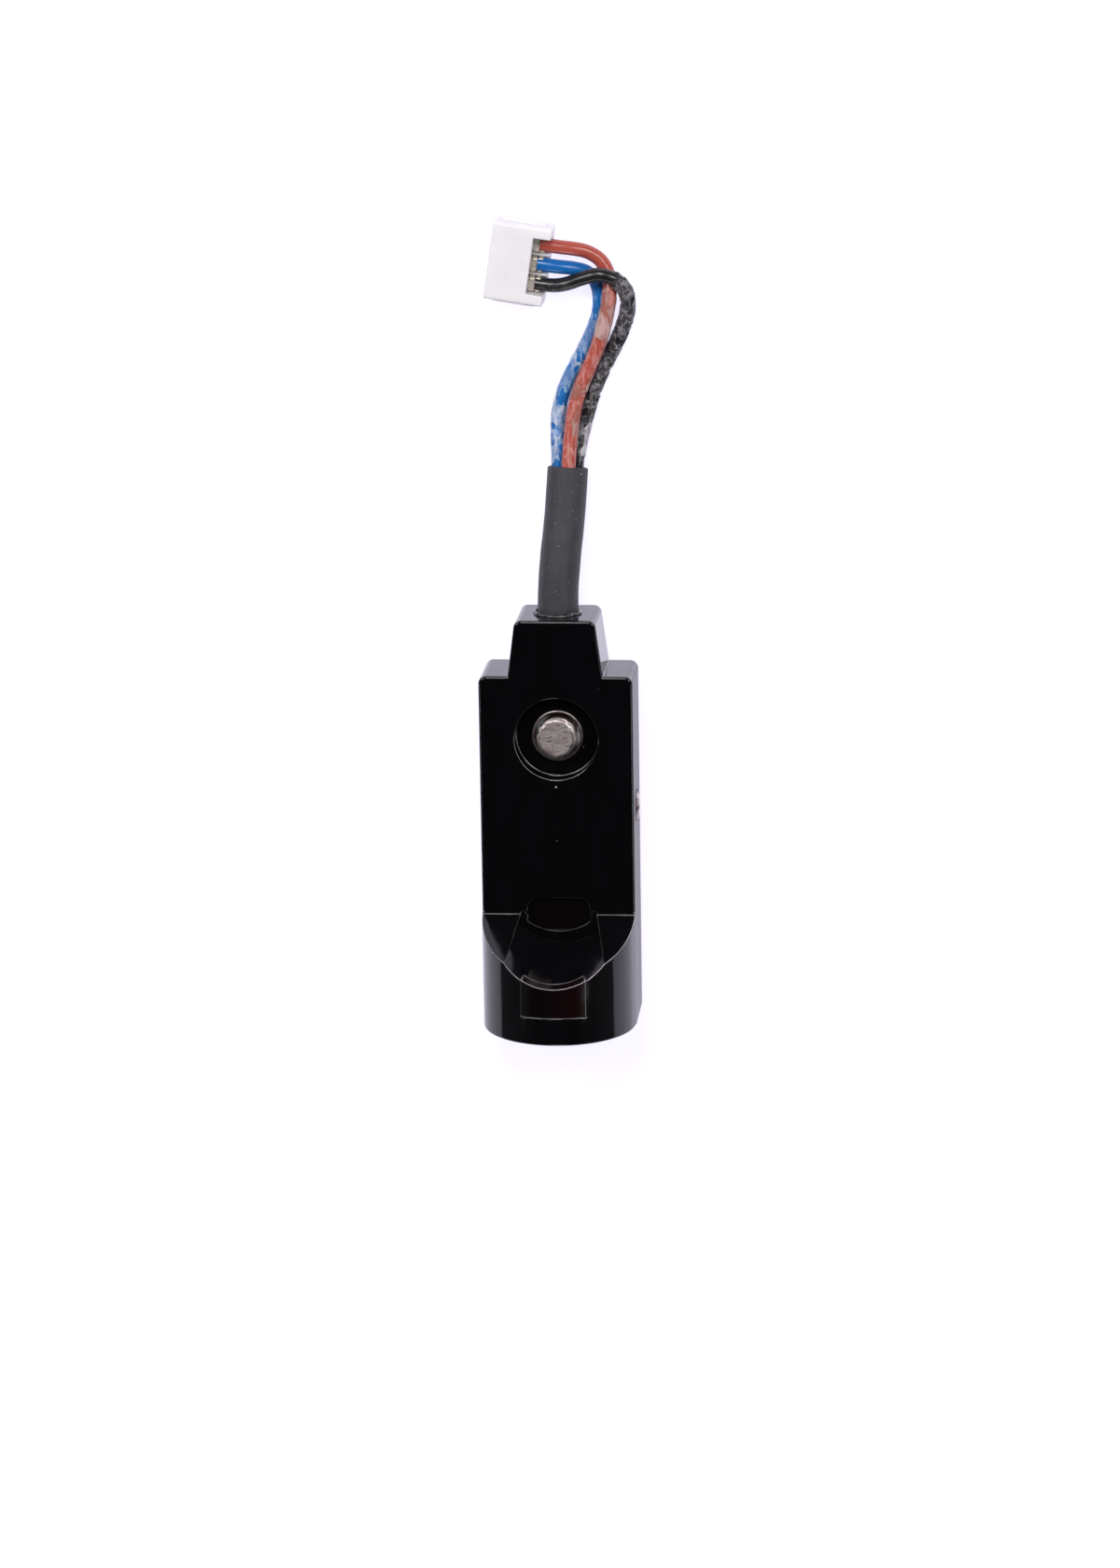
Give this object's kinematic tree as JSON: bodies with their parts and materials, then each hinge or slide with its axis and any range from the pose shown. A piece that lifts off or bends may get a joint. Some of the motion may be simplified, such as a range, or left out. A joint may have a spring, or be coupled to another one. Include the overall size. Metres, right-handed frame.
{
  "type": "photoelectric sensor head",
  "caption": "Slim black photoelectric sensor head with a half-round nose window, a captive fixing screw, a side adjuster and a short three-core pigtail with a plug.",
  "frame": {"origin": "middle of the body's width and length without its cable, on the back face", "axes": "+Z out of the mounting face and nose, +Y towards the cable end, +X towards the adjuster's side"},
  "size_m": [0.0199, 0.1033, 0.0198],
  "materials": {
    "black_moulding": "glossy black injection moulding",
    "infrared_window": "glossy infrared-pass plastic, nearly black with a dark red cast",
    "clear_lens": "clear moulded lens",
    "zinc_steel": "bright plated steel, lightly scratched",
    "sleeve_steel": "dull grey-brown plated steel",
    "adjuster_metal": "bright metal",
    "natural_nylon": "natural white nylon, slightly translucent",
    "green_board": "satin solder resist",
    "chip_black": "matt moulded epoxy",
    "ceramic_tan": "fired ceramic",
    "trimmer_blue": "moulded plastic",
    "tinned_metal": "tinned, satin",
    "tinned_brass": "tinned brass, satin",
    "jacket_grey": "matt dark grey cable jacket",
    "sealing_compound": "glossy black sealing compound",
    "insulation_brown": "semi-gloss insulation with film residue",
    "insulation_blue": "semi-gloss insulation with film residue",
    "insulation_black": "semi-gloss insulation with pale dust"
  },
  "bodies": {
    "body": {"front_housing": "black_moulding", "rear_cover": "black_moulding", "light_barrier": "black_moulding", "nose_window": "infrared_window", "pocket_window": "infrared_window", "ir_receiver": "infrared_window", "ir_emitter": "clear_lens", "indicator_led": "clear_lens", "fixing_sleeve": "sleeve_steel", "cable_clamp": "sleeve_steel", "connector_housing": "natural_nylon", "circuit_board": "green_board", "controller_chip": "chip_black", "voltage_regulator": "chip_black", "output_transistor": "chip_black", "resistors": "chip_black", "capacitors": "ceramic_tan", "trimmer_body": "trimmer_blue", "emitter_leads": "tinned_metal", "receiver_leads": "tinned_metal", "chip_legs": "tinned_metal", "trimmer_pins": "tinned_metal", "solder_joints": "tinned_metal", "crimp_contacts": "tinned_brass", "cable_jacket": "jacket_grey", "cable_seal": "sealing_compound", "brown_core": "insulation_brown", "brown_tail": "insulation_brown", "blue_core": "insulation_blue", "blue_tail": "insulation_blue", "black_core": "insulation_black", "black_tail": "insulation_black"},
    "washer": {"captive_washer": "natural_nylon"},
    "screw": {"fixing_screw": "zinc_steel"},
    "adjuster": {"adjuster_screw": "adjuster_metal"}
  },
  "joints": [
    {"name": "screw_travel", "type": "slide", "parent": "body", "child": "washer", "axis": [0, 0, 1], "range_m": [0, 0.00138]},
    {"name": "screw_turn", "type": "hinge", "parent": "washer", "child": "screw", "pos_m": [0, 0.01115, 0.005], "axis": [0, 0, 1], "continuous": true},
    {"name": "adjuster_turn", "type": "hinge", "parent": "body", "child": "adjuster", "pos_m": [0.0098, 0.00135, 0.0052], "axis": [1, 0, 0], "range_deg": [-135, 135]}
  ]
}
